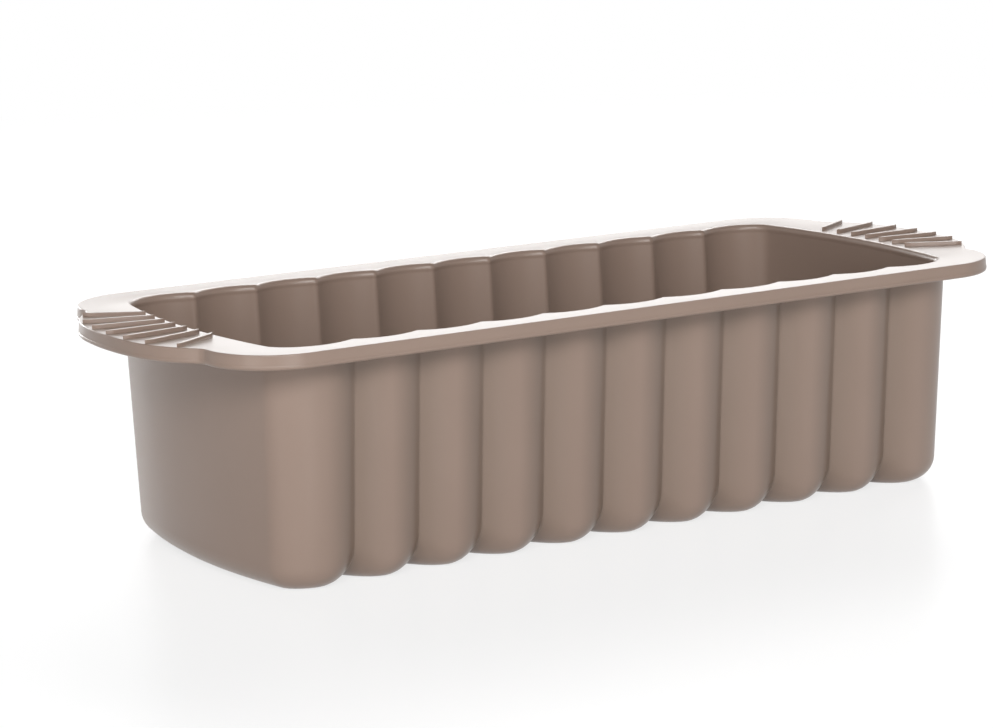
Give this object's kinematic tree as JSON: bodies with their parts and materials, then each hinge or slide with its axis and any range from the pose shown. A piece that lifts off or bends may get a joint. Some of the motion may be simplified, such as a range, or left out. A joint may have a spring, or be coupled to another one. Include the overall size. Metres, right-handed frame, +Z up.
{
  "type": "silicone loaf mould",
  "caption": "Flexible oblong loaf mould with fluted long walls, bowed plain ends, a flat rim with a wire in its thick edge, and a ribbed grip tab at each end.",
  "frame": {"origin": "centre of the flat underside, on the surface that the mould stands on", "axes": "+X along the loaf to one grip tab, +Y across it, +Z up out of the mouth"},
  "size_m": [0.3088, 0.1288, 0.0756],
  "materials": {
    "silicone": "taupe platinum-cured silicone rubber, satin-matt from a lightly blasted mould",
    "wire_steel": "bright drawn stainless wire, butt-welded"
  },
  "bodies": {
    "root": {"silicone_moulding": "silicone", "rim_wire": "wire_steel"}
  },
  "joints": []
}
